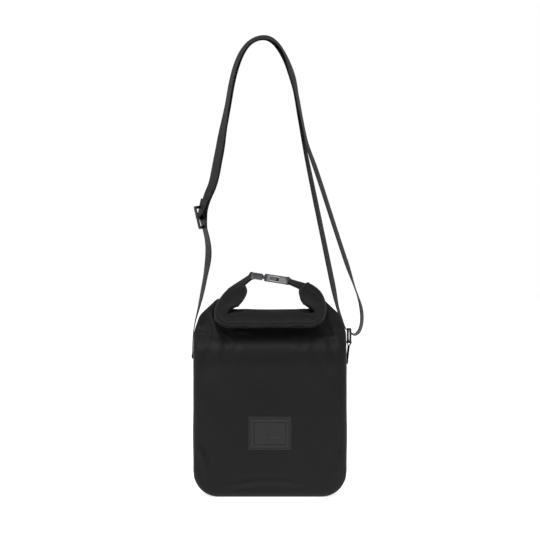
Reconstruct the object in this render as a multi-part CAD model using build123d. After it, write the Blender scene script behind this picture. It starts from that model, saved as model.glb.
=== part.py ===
"""Small roll-top crossbody bag: fabric body, rolled mouth bent up into a hand loop and closed by a
side-release buckle, and a webbing shoulder strap with a slider and a rectangular ring.

Millimetres. Origin: centre of the base on the ground. +Z up, front of the bag faces -Y, +X to its right.
"""

from build123d import *
import math
import os

# ---- driving dimensions -------------------------------------------------------------------------
bag_width = 220.0  # outside, left to right
bag_depth = 116.0  # outside, front to back
shoulder_height = 238.0  # where the sides start to lean in
neck_rise = 23.0  # from the shoulders to the top of the gathered neck between the two hand-loop ends
horn_rise = 48.0  # from the shoulders to the top of the neck fabric behind each hand-loop end
base_corner = 36.0  # radius of the bottom corners seen from the front
base_edge = 8.0  # radius of the bottom edge seen from the side
fabric = 1.6  # coated woven fabric, turned seams included
lining_wall = 0.8
seam_tape = 1.2  # thickness of the tape bound over the inside seams
tape_width = 9.0
layer_gap = 0.2  # free space between sewn layers

board_thickness = 2.0
board_margin = 9.0  # from the outside of the bag to the edge of the base board

neck_front = -21.0  # Y of the neck's front layer
neck_back = -5.0
roll_depth = 24.0  # front to back size of the flattened roll
roll_height = 23.0
roll_half = 61.0  # half length of the roll between the two bent ends
roll_centre_y = -38.0
roll_drop = 4.5  # from the neck's top down to the middle of the roll
roll_edge = 7.0  # rounding of the roll's long edges
hinge_gap = 1.6  # between the roll and a bent end
stiffener_height = 15.0
stiffener_thickness = 1.2
flap_thickness = 5.5
flap_half = 54.0

web_width = 20.0  # closure webbing
web_thickness = 1.4
sewn_pair = 3.2  # two layers of closure webbing sewn together

buckle_length = 54.0
buckle_width = 28.0
buckle_height = 11.0
buckle_tilt = 8.7  # degrees, left end higher
buckle_rise = 57.5  # from the middle of the roll to the buckle's centre
bar_radius = 1.8
running_gap = 0.3  # between parts that move on each other
buckle_wall = 2.1  # above and below the socket's cavity
buckle_corner = 2.5
slot_length = 5.0  # webbing slot along the buckle
blade_end = 14.0  # along the buckle, from its centre
blade_width = 5.2
mouth_from_centre = -8.0  # where the female half starts, along the buckle from its centre
catch_reach = 11.0  # from an arm's root to its catch shoulder
catch_hook = 1.8  # how far a catch head stands behind the housing's front frame

strap_width = 25.0
strap_thickness = 1.4
strap_y = 14.0  # the strap is sewn to the rear half of the sides
ring_rod = 3.0
ring_inside = 27.0
ring_height = 22.0
slider_length = 34.0
slider_width = 33.0
slider_thickness = 3.2
slider_bar = 4.0
slider_lean = -13.0  # degrees from upright
loop_reach = 27.0  # of the strap's sewn loop, from the slider's centre bar
anchor_thickness = 1.0
tack_thickness = 0.65
tack_height = 4.0

patch_width = 62.0
patch_height = 48.0
patch_thickness = 1.5
patch_centre = (0.0, 92.0)
patch_corner = 3.0
patch_field_inset = 7.5  # from the patch's edge to its pressed frame line
stitch_inset = 3.0
thread = 0.6

# ---- worked-out places --------------------------------------------------------------------------
half_w = bag_width / 2
half_d = bag_depth / 2
neck_height = shoulder_height + neck_rise
horn_height = shoulder_height + horn_rise
roll_centre_z = neck_height - roll_drop
buckle_centre_z = roll_centre_z + buckle_rise
anchor_low = shoulder_height - 50.0
tab_low = shoulder_height - 49.0  # foot of the ring's tab
roll_front = roll_centre_y - roll_depth / 2
roll_back = roll_centre_y + roll_depth / 2
roll_top = roll_centre_z + roll_height / 2
roll_bottom = roll_centre_z - roll_height / 2
buckle_place = Location((0, roll_centre_y, buckle_centre_z), (0, buckle_tilt, 0))
bar_from_centre = buckle_length / 2 - bar_radius
slider_centre = (-101.5, strap_y, 402.5)
ring_bottom = (half_w + 5.0, tab_low + 32.0)  # X, Z of the bar that sits in the tab
tab_thickness = 2 * strap_thickness + 0.1
strand_skin = 113.1  # X of the inner strand's outer face where it is sewn down

# The strap's two strands, as X, Z points of their centre lines. The inner strand runs from the left
# side over the arch to the ring; the outer strand returns over it to the slider's centre bar.
inner_route = [
    (-112.4, 197.0), (-112.4, 222.0), (-110.0, 247.0), (-101.8, 277.0), (-94.0, 315.0),
    (-88.7, 346.0), (-88.4, 368.0), (-91.4, 388.0), (-91.8, 408.0), (-88.2, 429.0), (-80.2, 450.0),
    (-54.5, 594.0), (-46.6, 621.0), (-36.5, 644.0), (-22.5, 660.0), (-3.0, 665.8), (12.0, 656.8),
    (22.5, 638.0), (29.3, 617.0), (35.3, 592.0), (51.2, 504.0), (98.0, 271.0), (105.0, 251.0),
    (110.9, 238.0), (116.0, 236.2),
]
outer_route = [
    (116.0, 236.2), (121.1, 234.4), (127.6, 238.6), (132.4, 248.0), (133.6, 262.0), (130.8, 279.0),
    (121.0, 307.0), (96.5, 380.0), (69.0, 466.0), (54.2, 506.0), (38.0, 592.4), (31.8, 618.0),
    (24.8, 639.4), (13.6, 659.0), (-2.8, 668.6), (-23.6, 662.4), (-38.6, 645.2), (-49.0, 622.0),
    (-57.0, 594.6), (-82.9, 450.8), (-91.9, 433.0), (-98.9, 410.0),
]


# ---- helpers ------------------------------------------------------------------------------------
def slab_xz(face, low, high):
    """A front-view outline made solid from Y = low to Y = high."""
    return Pos(0, low, 0) * extrude(Plane.XZ * face, amount=high - low, dir=(0, 1, 0))


def slab_yz(face, low, high):
    """A side-view outline made solid from X = low to X = high."""
    return Pos(low, 0, 0) * extrude(Plane.YZ * face, amount=high - low, dir=(1, 0, 0))


def block(x, y, z):
    """A box from three (low, high) pairs."""
    size = [b - a for a, b in (x, y, z)]
    centre = [(a + b) / 2 for a, b in (x, y, z)]
    return Pos(*centre) * Box(*size)


def rod_y(radius, length):
    """A round bar along Y, centred."""
    return Rot(90, 0, 0) * Cylinder(radius, length)


def outline(points, radii=None):
    """A closed outline with an optional rounding radius for each point's place in the list."""
    face = Polygon(*points, align=None)
    for place, radius in (radii or {}).items():
        x, y = points[place]
        corner = face.vertices().sort_by_distance((x, y, 0))[0]
        face = fillet(corner, radius)
    return face


def write(node, shape):
    """Writes one node's STEP."""
    shape.label = node
    export_step(shape, f"parts/{node}.step")


# ---- bag body -----------------------------------------------------------------------------------
def front_outline(inset=0.0):
    """The bag seen from the front: straight sides, leaning shoulders and two neck horns."""
    lean = horn_height - shoulder_height
    left = [
        (-half_w, 0),
        (-half_w, shoulder_height),
        (-half_w + 9, shoulder_height + 0.5 * lean),
        (-half_w + 34, horn_height - 3),
        (-roll_half, horn_height),
        (-flap_half - 2, neck_height),
    ]
    right = [(-x, z) for x, z in reversed(left)]
    rounding = {0: base_corner, 11: base_corner, 1: 20, 10: 20, 2: 14, 9: 14, 3: 14, 8: 14}
    face = outline(left + right, rounding)
    return offset(face, amount=-inset, kind=Kind.INTERSECTION) if inset else face


def side_outline(inset=0.0):
    """The bag seen from its side: upright walls that lean in to the neck above the contents."""
    points = [
        (-half_d, 0),
        (-half_d, shoulder_height - 42),
        (-half_d + 7, shoulder_height - 21),
        (neck_front - 4, shoulder_height + 1),
        (neck_front, shoulder_height + 12),
        (neck_front, horn_height + 4),
        (neck_back, horn_height + 4),
        (neck_back, shoulder_height + 7),
        (half_d - 12, shoulder_height - 28),
        (half_d, shoulder_height - 58),
        (half_d, 0),
    ]
    rounding = {0: base_edge, 10: base_edge, 1: 25, 2: 12, 8: 30, 9: 30}
    face = outline(points, rounding)
    return offset(face, amount=-inset, kind=Kind.INTERSECTION) if inset else face


def body_solid(inset):
    """The bag's outer form, taken in by inset on every side."""
    wide = slab_yz(side_outline(inset), -bag_width, bag_width)
    return wide & slab_xz(front_outline(inset), -bag_depth, bag_depth)


def fabric_panels():
    """Front and back panels, two side gussets with the bottom corners, and the base panel."""
    wide = bag_width
    walls = slab_yz(side_outline(), -wide, wide) - slab_yz(side_outline(fabric), -wide, wide)
    walls = walls & slab_xz(front_outline(), -wide, wide)
    parting = (neck_front + neck_back) / 2
    high = horn_height + 2
    front = walls & block((-wide, wide), (-wide, parting), (base_edge, high))
    back = walls & block((-wide, wide), (parting, wide), (base_edge, high))
    rim = slab_xz(front_outline(), -wide, wide) - slab_xz(front_outline(fabric), -wide, wide)
    band = rim & slab_yz(side_outline(fabric), -wide, wide)
    edge = half_w - base_corner
    left = band & block((-wide, -edge), (-wide, wide), (0, high))
    right = band & block((edge, wide), (-wide, wide), (0, high))
    under = slab_xz(front_outline(), -wide, wide) & slab_yz(side_outline(), -wide, wide)
    inner = slab_xz(front_outline(fabric), -wide, wide) & slab_yz(side_outline(fabric), -wide, wide)
    skin = under - inner
    base = skin & block((-edge, edge), (-wide, wide), (0, base_edge))
    corners = skin & block((-wide, wide), (-wide, wide), (0, base_edge))
    left = left + (corners & block((-wide, -edge), (-wide, wide), (0, base_edge)))
    right = right + (corners & block((edge, wide), (-wide, wide), (0, base_edge)))
    left = left & block((-wide, -flap_half - 8), (-wide, wide), (0, high))
    right = right & block((flap_half + 8, wide), (-wide, wide), (0, high))
    return {
        "front_panel": front,
        "back_panel": back,
        "left_gusset": left,
        "right_gusset": right,
        "base_panel": base,
    }


def seam_tapes():
    """The binding sewn over the inside seam allowance, near the front and near the back."""
    outer = front_outline(fabric + layer_gap)
    inner = front_outline(fabric + layer_gap + seam_tape)
    low = -half_d + fabric + layer_gap + 1.5
    top = block((-bag_width, bag_width), (-bag_depth, bag_depth), (fabric, shoulder_height - 66))
    room = slab_yz(side_outline(fabric + layer_gap), -bag_width, bag_width)
    front = (slab_xz(outer, low, low + tape_width) - slab_xz(inner, low, low + tape_width)) & top
    front = front & room
    back = mirror(front, about=Plane.XZ)
    return front, back


def lining():
    """The loose inner bag, open at its top."""
    skin = fabric + 2 * layer_gap + seam_tape + board_thickness
    wall = body_solid(skin) - body_solid(skin + lining_wall)
    open_top = shoulder_height - 6
    return wall & block((-bag_width, bag_width), (-bag_depth, bag_depth), (0, open_top))


def base_board():
    """The board that keeps the base flat, between the base panel and the lining."""
    size_x = bag_width - 2 * (base_corner + 2)
    size_y = bag_depth - 2 * (board_margin + tape_width - 5)
    plate = extrude(RectangleRounded(size_x, size_y, 10), amount=board_thickness)
    return Pos(0, 0, fabric + layer_gap) * plate


# ---- patch --------------------------------------------------------------------------------------
def patch_ring(inset, width, radius):
    """A rectangular line on the patch, width wide, its outer edge inset from the patch's edge."""
    x, z = patch_width - 2 * inset, patch_height - 2 * inset
    return RectangleRounded(x, z, radius) - RectangleRounded(x - 2 * width, z - 2 * width, radius - 0.5)


def patch_and_stitching():
    """The moulded label sewn low on the front, with a blank inset field, and its line of stitches."""
    front = -half_d
    place = Pos(patch_centre[0], 0, patch_centre[1])
    plate = RectangleRounded(patch_width, patch_height, patch_corner)
    solid = place * slab_xz(plate, front - patch_thickness, front)
    frame_line = patch_ring(patch_field_inset, 1.0, 1.5)
    solid = solid - place * slab_xz(frame_line, front - patch_thickness, front - patch_thickness + 0.5)
    stitch = patch_ring(stitch_inset, thread, 2.0)
    ring = place * slab_xz(stitch, front - patch_thickness - 0.3, front - patch_thickness + 0.3)
    return solid - ring, ring


# ---- rolled mouth -------------------------------------------------------------------------------
def rolled_top():
    """The mouth rolled up and pressed flat, with the pocket that holds the stiffener."""
    section = Pos(roll_centre_y, roll_centre_z) * RectangleRounded(roll_depth, roll_height, roll_edge)
    pocket = Pos(roll_centre_y, roll_centre_z) * Rectangle(
        stiffener_thickness + 2 * layer_gap, stiffener_height + 2 * layer_gap
    )
    reach = roll_half - 3
    return slab_yz(section, -roll_half, roll_half) - slab_yz(pocket, -reach, reach)


def mouth_stiffener():
    """The flexible strip inside the roll."""
    strip = Pos(roll_centre_y, roll_centre_z) * Rectangle(stiffener_thickness, stiffener_height)
    reach = roll_half - 3 - layer_gap
    return slab_yz(strip, -reach, reach)


def neck_flap():
    """The neck's layers where they pass forward over the neck into the roll."""
    low = roll_top - flap_thickness
    return block((-flap_half, flap_half), (roll_back, neck_front + 9), (low, roll_top)) - rolled_top()


# ---- hand-loop ends and closure webbing ---------------------------------------------------------
# Each bent end's outline and webbing start, as distances out from the roll's end and up from its bottom.
left_end_points = [
    (hinge_gap, 0), (16, 2), (19, 17), (15, 36), (1, 52), (-17.5, 62.5), (-24.5, 55), (-27.5, 45),
    (-23, 34), (-11, 25.6), (hinge_gap, 24),
]
left_end_rounding = {1: 5, 2: 12, 3: 16, 4: 10, 5: 2, 7: 4, 8: 6}
left_web_start = (1.0, 45.5)
right_end_points = [
    (hinge_gap, 0), (15, 2), (20, 17), (19, 35), (12, 48), (-4.5, 62.5), (-13.5, 55), (-20, 42),
    (-12, 31), (-3, 25.6), (hinge_gap, 24),
]
right_end_rounding = {1: 5, 2: 12, 3: 12, 4: 10, 5: 2, 7: 4, 8: 5}
right_web_start = (11.0, 55.0)


def from_roll(point, side):
    """X, Z of a point given from the roll's end. side is -1 on the left, 1 on the right."""
    return side * (roll_half + point[0]), roll_bottom + point[1]


def bar_point(side):
    """X, Z of a buckle half's webbing bar. side is -1 on the left, 1 on the right."""
    tilt = math.radians(buckle_tilt)
    reach = side * bar_from_centre
    return reach * math.cos(tilt), buckle_centre_z - reach * math.sin(tilt)


def closure_strip(web_start, side, grow=0.0):
    """Sewn double webbing from its start inside the bent end to its loop round the buckle's bar."""
    x, z = bar_point(side)
    start = from_roll(web_start, side)
    run = math.hypot(x - start[0], z - start[1])
    angle = math.degrees(math.atan2(z - start[1], x - start[0]))
    place = Location((x, roll_centre_y, z), (0, -angle, 0))
    strip = Pos(-run / 2, 0, 0) * Box(run, web_width + 2 * grow, sewn_pair + 2 * grow)
    if grow:
        return place * strip
    bore = rod_y(bar_radius + running_gap, web_width + 2)
    eye = rod_y(bar_radius + running_gap + web_thickness, web_width)
    return place * ((strip + eye) - bore)


def bent_end(points, rounding, web_start, side):
    """One end of the roll, bent up and back over towards the middle, with a slot for its webbing."""
    face = outline([from_roll(point, side) for point in points], rounding)
    return slab_xz(face, roll_front, roll_back) - closure_strip(web_start, side, layer_gap / 2)


# ---- buckle -------------------------------------------------------------------------------------
def webbing_slot(side):
    """The opening round a buckle half's webbing bar, in the buckle's own frame."""
    inner = bar_from_centre - bar_radius - slot_length
    outer = bar_from_centre + bar_radius + 4
    length = outer - inner
    return Pos(side * (inner + outer) / 2, 0, 0) * Box(length, web_width + 1, buckle_height + 2)


arm_root = mouth_from_centre - 2.5  # along the buckle, where the release arms start
arm_thickness = 2.6
cavity_height = buckle_height - 2 * buckle_wall
frame_length = catch_reach + arm_root - mouth_from_centre - running_gap  # depth of the front frame
cavity_half = buckle_width / 2 - 2.2
arm_outside = cavity_half - running_gap
window_length = 12.5  # along each side of the socket, round a catch's head


def buckle_male():
    """Plug half: webbing bar, slot, shoulder plate and the centre guide blade."""
    end = -buckle_length / 2
    plate_end = arm_root - running_gap
    width = buckle_width
    thick = buckle_height / 2 - 0.8  # the plug stands a little inside the socket's faces
    plate = block((end, plate_end), (-width / 2, width / 2), (-thick, thick))
    plate = fillet(plate.edges().filter_by(Axis.Z), buckle_corner)
    plate = plate - webbing_slot(-1)
    bar = Pos(-bar_from_centre, 0, 0) * rod_y(bar_radius, web_width + 3)
    tall = cavity_height / 2 - 0.8
    wide = blade_width / 2
    blade = block((plate_end - 1, blade_end), (-wide, wide), (-tall, tall))
    blade = chamfer(blade.edges().group_by(Axis.X)[-1], 1.0)
    return plate + bar + blade


def release_arm(side):
    """One springy arm with its catch head and finger pad. side is -1 at the front, 1 at the rear."""
    shoulder = arm_root + catch_reach
    outside = arm_outside
    head = buckle_width / 2 - 0.4
    inside = outside - arm_thickness
    points = [
        (arm_root, inside), (arm_root, outside), (shoulder, outside), (shoulder, outside + catch_hook),
        (shoulder + 2.5, head), (shoulder + 7, head - 0.6), (shoulder + 11, outside - 1.0),
        (shoulder + 11.4, inside + 0.4), (shoulder + 8, inside - 0.6), (shoulder, inside),
    ]
    face = Polygon(*points, align=None)
    height = cavity_height - 0.8  # free by 0.4 above and below
    arm = Pos(0, 0, -height / 2) * extrude(face, amount=height, dir=(0, 0, 1))
    return arm if side > 0 else mirror(arm, about=Plane.XZ)


def buckle_female():
    """Socket half: front frame, two side windows over the catches, webbing slot and bar."""
    start = mouth_from_centre
    end = buckle_length / 2
    half = buckle_width / 2
    body = block((start, end), (-half, half), (-buckle_height / 2, buckle_height / 2))
    body = fillet(body.edges().filter_by(Axis.Z), buckle_corner)
    body = fillet(body.edges().filter_by(Axis.Y), 1.2)
    tall = (-cavity_height / 2, cavity_height / 2)
    cavity = block((start - 1, blade_end + 1.5), (-cavity_half, cavity_half), tall)
    window_start = start + frame_length
    windows = block((window_start, window_start + window_length), (-half - 1, half + 1), tall)
    body = body - cavity - windows - webbing_slot(1)
    bar = Pos(bar_from_centre, 0, 0) * rod_y(bar_radius, web_width + 3)
    return body + bar


# ---- shoulder strap -----------------------------------------------------------------------------
def route_radii(points):
    """The largest rounding that each corner's two runs leave room for."""
    radii = []
    for a, b, c in zip(points, points[1:], points[2:]):
        before, after = Vector(*b) - Vector(*a), Vector(*c) - Vector(*b)
        turn = math.radians(before.get_angle(after))
        radii.append(0.45 * min(before.length, after.length) / math.tan(turn / 2))
    return radii


def strand(points):
    """Flat webbing along a route in the plane Y = strap_y, its width along Y."""
    radii = route_radii(points)
    print("route radii", [round(r) for r in radii])
    path = FilletPolyline(*[(x, strap_y, z) for x, z in points], radius=radii)
    start = Plane(origin=path @ 0, x_dir=(0, 1, 0), z_dir=path % 0)
    solid = sweep(start * Rectangle(strap_width, strap_thickness), path=path)
    section = strap_width * strap_thickness
    ratio = solid.volume / section / path.length
    print("strand length", round(path.length, 1), "volume ratio", round(ratio, 5))
    return solid


def anchor_patch():
    """Reinforcing patch under the strap's sewn end on the left side."""
    y = (strap_y - strap_width / 2 - 2, strap_y + strap_width / 2 + 2)
    return block((-half_w - anchor_thickness, -half_w), y, (anchor_low, anchor_low + 28))


def bar_tack(skin, side, low):
    """A dense block of stitching across webbing whose outer face is skin from the bag's middle."""
    x = sorted((side * (skin + 0.05), side * (skin + 0.05 + tack_thickness)))
    return block(x, (strap_y - strap_width / 2 + 2, strap_y + strap_width / 2 - 2), (low, low + tack_height))


def strap_ring():
    """Rectangular ring that the strap passes through, standing in the tab's loop."""
    x, z = ring_bottom
    outer = RectangleRounded(ring_inside + 2 * ring_rod, ring_height, ring_rod)
    inner = RectangleRounded(ring_inside, ring_height - 2 * ring_rod, 1.0)
    plate = extrude(outer - inner, amount=ring_rod / 2, both=True)
    plate = chamfer(plate.edges().filter_by(GeomType.LINE).filter_by(Axis.Z, reverse=True), 0.6)
    return Pos(x, strap_y, z + ring_height / 2 - ring_rod / 2) * (Plane.YZ * plate)


def ring_tab():
    """Short webbing loop sewn to the right side; its upper turn holds the ring's lower bar."""
    x, z = ring_bottom
    inner = ring_rod / 2 * math.sqrt(2) + running_gap
    outer = inner + strap_thickness
    y = (strap_y - strap_width / 2, strap_y + strap_width / 2)
    turn = Pos(x, strap_y, z) * rod_y(outer, strap_width)
    near, far = half_w + 0.05, half_w + tab_thickness
    wrap = outline([(x - outer, z), (x + outer, z), (far, tab_low + 12), (far, tab_low),
                    (near, tab_low), (near, tab_low + 20)])
    solid = turn + slab_xz(wrap, *y)
    return solid - Pos(x, strap_y, z) * rod_y(inner, strap_width + 2)


def slider_location():
    """The slider's own frame: X across its thickness, Y across the strap, Z along its length."""
    return Location(slider_centre, (0, slider_lean, 0))


def slider_frame():
    """Three-bar slider plate."""
    face = RectangleRounded(slider_width, slider_length, 3.5)
    plate = extrude(face, amount=slider_thickness / 2, both=True)
    plate = chamfer(plate.faces().sort_by(Axis.Z)[-1].edges(), 0.7)
    slot_height = (slider_length - slider_bar) / 2 - 4.2
    offset_y = slider_bar / 2 + slot_height / 2
    for way in (-1, 1):
        slot = Pos(0, way * offset_y, 0) * Box(strap_width + 1.6, slot_height, slider_thickness * 2)
        plate = plate - slot
    return slider_location() * (Plane.YZ * plate)


def slider_loop():
    """The outer strand's end, folded round the slider's centre bar and sewn to itself."""
    inner = math.hypot(slider_bar, slider_thickness) / 2 + running_gap
    outer = inner + strap_thickness
    tail = outer_route[-2]
    x, _, z = slider_centre
    lean = math.degrees(math.atan2(tail[0] - outer_route[-1][0], tail[1] - outer_route[-1][1]))
    place = Location((x, strap_y, z), (0, lean, 0))
    sleeve = Pos(0, 0, loop_reach / 2) * Box(2 * outer, strap_width, loop_reach)
    sleeve = sleeve + rod_y(outer, strap_width)
    hollow = Pos(0, 0, loop_reach / 2 + 1) * Box(2 * inner, strap_width + 2, loop_reach + 2)
    hollow = hollow + rod_y(inner, strap_width + 2)
    return place * (sleeve - hollow)


# ---- all nodes ----------------------------------------------------------------------------------
def main():
    os.makedirs("parts", exist_ok=True)
    nodes = fabric_panels()
    nodes["front_seam_tape"], nodes["back_seam_tape"] = seam_tapes()
    nodes["lining"] = lining()
    nodes["base_board"] = base_board()
    nodes["label_patch"], nodes["patch_stitching"] = patch_and_stitching()

    nodes["rolled_top"] = rolled_top()
    nodes["mouth_stiffener"] = mouth_stiffener()
    nodes["neck_flap"] = neck_flap()

    nodes["left_hand_end"] = bent_end(left_end_points, left_end_rounding, left_web_start, -1)
    nodes["right_hand_end"] = bent_end(right_end_points, right_end_rounding, right_web_start, 1)
    nodes["left_closure_webbing"] = closure_strip(left_web_start, -1)
    nodes["right_closure_webbing"] = closure_strip(right_web_start, 1)

    nodes["buckle_male"] = buckle_place * buckle_male()
    nodes["buckle_female"] = buckle_place * buckle_female()
    nodes["catch_front"] = buckle_place * release_arm(-1)
    nodes["catch_rear"] = buckle_place * release_arm(1)

    nodes["strap_inner_strand"] = strand(inner_route)
    nodes["strap_outer_strand"] = strand(outer_route)
    nodes["left_anchor_patch"] = anchor_patch()
    nodes["left_bar_tack"] = bar_tack(strand_skin, -1, anchor_low + 11)
    nodes["strap_ring"] = strap_ring()
    nodes["ring_tab"] = ring_tab()
    nodes["ring_tab_bar_tack"] = bar_tack(half_w + tab_thickness, 1, tab_low + 3)
    nodes["slider_frame"] = slider_frame()
    nodes["slider_loop"] = slider_loop()

    for node, shape in nodes.items():
        write(node, shape)


main()
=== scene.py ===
import bmesh
import bpy
import math
import numpy as np
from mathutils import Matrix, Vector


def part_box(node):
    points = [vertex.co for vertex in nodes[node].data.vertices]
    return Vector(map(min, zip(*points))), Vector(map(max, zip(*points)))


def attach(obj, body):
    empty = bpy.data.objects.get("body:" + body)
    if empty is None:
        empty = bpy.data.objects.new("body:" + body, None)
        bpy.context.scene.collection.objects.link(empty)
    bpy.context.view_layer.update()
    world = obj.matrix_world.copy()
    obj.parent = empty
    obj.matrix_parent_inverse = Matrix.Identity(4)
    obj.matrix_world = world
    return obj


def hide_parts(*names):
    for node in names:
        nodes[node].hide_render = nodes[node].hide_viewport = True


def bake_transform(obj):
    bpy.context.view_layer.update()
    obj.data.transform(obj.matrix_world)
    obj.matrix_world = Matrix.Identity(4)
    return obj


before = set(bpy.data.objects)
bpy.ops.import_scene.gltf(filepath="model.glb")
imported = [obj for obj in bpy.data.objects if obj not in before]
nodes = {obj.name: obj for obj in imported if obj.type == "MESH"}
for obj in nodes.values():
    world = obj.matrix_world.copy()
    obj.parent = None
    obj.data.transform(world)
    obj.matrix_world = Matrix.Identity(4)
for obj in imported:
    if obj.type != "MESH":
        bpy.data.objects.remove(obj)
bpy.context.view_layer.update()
mm = 0.001
print("frame loaded:", len(nodes), "CAD nodes")


# places that the frame gives
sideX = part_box("right_gusset")[1].x
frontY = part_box("front_panel")[0].y
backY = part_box("back_panel")[1].y
rollLow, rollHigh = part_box("rolled_top")
rollY = (rollLow.y + rollHigh.y) / 2
strapLow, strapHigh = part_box("strap_inner_strand")
strapY = (strapLow.y + strapHigh.y) / 2
strapWidth = strapHigh.y - strapLow.y


def linearColour(hexText):
    # sRGB hex to linear: each channel c becomes ((c + 0.055) / 1.055) to the power 2.4, or c / 12.92 when dark
    channels = [int(hexText[i:i + 2], 16) / 255 for i in (1, 3, 5)]
    return [c / 12.92 if c <= 0.04045 else ((c + 0.055) / 1.055) ** 2.4 for c in channels] + [1.0]


def putNode(tree, kind, settings=None, **inputs):
    # adds one node, or takes the one given, sets its properties and the stops of its colour ramp, then fills or
    # links its input sockets; n0, n1 and so on are sockets by number, and a node stands for its first output
    node = tree.nodes.new(kind) if isinstance(kind, str) else kind
    for name, value in (settings or {}).items():
        if name == "stops":
            for element, (place, tone) in zip(node.color_ramp.elements, value):
                element.position, element.color = place, linearColour(tone)
        else:
            setattr(node, name, value)
    for name, value in inputs.items():
        key = int(name[1:]) if name[0] == "n" and name[1:].isdigit() else name.replace("_", " ")
        value = value.outputs[0] if isinstance(value, bpy.types.Node) else value
        if isinstance(value, bpy.types.NodeSocket):
            tree.links.new(value, node.inputs[key])
        else:
            node.inputs[key].default_value = value
    return node


def lengthAlong(line):
    # the distance to each point along the line: the sum of the steps before it
    return np.concatenate([[0], np.cumsum(np.linalg.norm(np.diff(line, axis=0), axis=1))])


def tangents(line):
    # the unit direction at each point: the slope across its neighbours over its own length
    ahead = np.gradient(line, axis=0)
    return ahead / np.linalg.norm(ahead, axis=1)[:, None]


def uvGrid(across, along):
    # each column's place across paired with each row's place along
    return np.stack(np.broadcast_arrays(across[None], along[:, None]), axis=2)


def smoothStep(value):
    # 3 v^2 - 2 v^3 of v held between 0 and 1
    v = np.clip(value, 0, 1)
    return v * v * (3 - 2 * v)


def curveThrough(points, count):
    # a smooth line through the points: cubic Hermite pieces over chord length, each tangent the slope across
    # its two neighbours, sampled evenly in chord length
    p = np.asarray(points, float)
    chord = lengthAlong(p)
    slope = np.gradient(p, chord, axis=0)
    t = np.linspace(0, chord[-1], count)
    k = np.clip(np.searchsorted(chord, t, side="right") - 1, 0, len(p) - 2)
    h = (chord[k + 1] - chord[k])[:, None]
    f = ((t - chord[k]) / h[:, 0])[:, None]
    a, b = p[k], p[k + 1]
    return (a * (1 + 2 * f) * (1 - f) ** 2 + b * f * f * (3 - 2 * f)
            + slope[k] * h * f * (1 - f) ** 2 - slope[k + 1] * h * f * f * (1 - f))


def valueThrough(where, stations):
    # a smooth value along one axis: smooth steps between the (place, value) stations
    s = np.asarray(stations, float)
    k = np.clip(np.searchsorted(s[:, 0], where, side="right") - 1, 0, len(s) - 2)
    f = smoothStep((where - s[k, 0]) / (s[k + 1, 0] - s[k, 0]))
    return s[k, 1] + (s[k + 1, 1] - s[k, 1]) * f


def evenly(line, count):
    # the same line with its points spaced evenly along its length
    length = lengthAlong(line)
    t = np.linspace(0, length[-1], count)
    return np.stack([np.interp(t, length, line[:, i]) for i in range(line.shape[1])], axis=1)


def roundedOutline(corners, count):
    # straight runs joined by arcs that touch both runs: each corner (x, z, radius) is cut back by
    # radius / tan(half its inner angle), and its arc turns about the point between the two runs
    p = np.array([c[:2] for c in corners], float)
    pieces = []
    for i, radius in enumerate(corner[2] for corner in corners):
        before = p[i - 1] - p[i]
        after = p[(i + 1) % len(p)] - p[i]
        before, after = before / np.linalg.norm(before), after / np.linalg.norm(after)
        half = math.acos(np.clip(before @ after, -1, 1)) / 2
        middle = before + after
        centre = p[i] + middle / np.linalg.norm(middle) * radius / math.sin(half)
        cut = radius / math.tan(half)
        first, last = p[i] + before * cut - centre, p[i] + after * cut - centre
        a0 = math.atan2(first[1], first[0])
        sweep = (math.atan2(last[1], last[0]) - a0 + math.pi) % (2 * math.pi) - math.pi
        angle = a0 + sweep * np.linspace(0, 1, 16)
        pieces.append(centre + radius * np.stack([np.cos(angle), np.sin(angle)], axis=1))
    line = np.concatenate(pieces + [pieces[0][:1]])
    return evenly(line, count + 1)[:-1]


def smoothPiece(name, mesh):
    # the mesh as an object in the scene, smooth shaded
    mesh.polygons.foreach_set("use_smooth", np.ones(len(mesh.polygons), bool))
    mesh.update()
    piece = bpy.data.objects.new(name, mesh)
    bpy.context.scene.collection.objects.link(piece)
    return piece


def gridMesh(name, grid, uv, wrap=False, startCap=False, endCap=False, flip=False):
    # rows x columns of points made into quads, the columns closed into rings when wrap is set;
    # a cap is one more point at the ring's middle, joined to it by triangles
    rows, cols = grid.shape[:2]
    span = cols if wrap else cols - 1
    r, c = np.meshgrid(np.arange(rows - 1), np.arange(span), indexing="ij")
    r, c = r.ravel(), c.ravel()
    nextC = (c + 1) % cols
    quads = np.stack([r * cols + c, r * cols + nextC, (r + 1) * cols + nextC, (r + 1) * cols + c], axis=1)
    uvAt = np.stack([uv[r, c], uv[r, c + 1], uv[r + 1, c + 1], uv[r + 1, c]], axis=1)
    points = grid.reshape(-1, 3)
    faces = quads.tolist()
    uvList = [uvAt.reshape(-1, 2)]
    for wanted, row, turn in ((startCap, 0, 1), (endCap, rows - 1, -1)):
        if not wanted:
            continue
        hub = len(points)
        points = np.concatenate([points, grid[row].mean(axis=0)[None]])
        ring = np.arange(cols)
        following = (ring + 1) % cols
        three = np.stack([np.full(cols, hub), row * cols + following, row * cols + ring], axis=1)
        corners = np.stack([uv[row, :cols].mean(axis=0)[None].repeat(cols, 0), uv[row, 1:cols + 1],
                            uv[row, :cols]], axis=1)
        if turn < 0:
            three, corners = three[:, ::-1], corners[:, ::-1]
        faces += three.tolist()
        uvList.append(corners.reshape(-1, 2))
    if flip:
        faces = [face[::-1] for face in faces]
    mesh = bpy.data.meshes.new(name)
    mesh.from_pydata(points.tolist(), [], faces)
    allUv = np.concatenate(uvList)
    if flip:
        starts = np.cumsum([0] + [len(face) for face in faces])
        order = np.concatenate([np.arange(b - 1, a - 1, -1) for a, b in zip(starts, starts[1:])])
        allUv = allUv[order]
    layer = mesh.uv_layers.new(name="UVMap")
    layer.data.foreach_set("uv", allUv.astype(np.float32).ravel())
    return smoothPiece(name, mesh)


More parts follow.
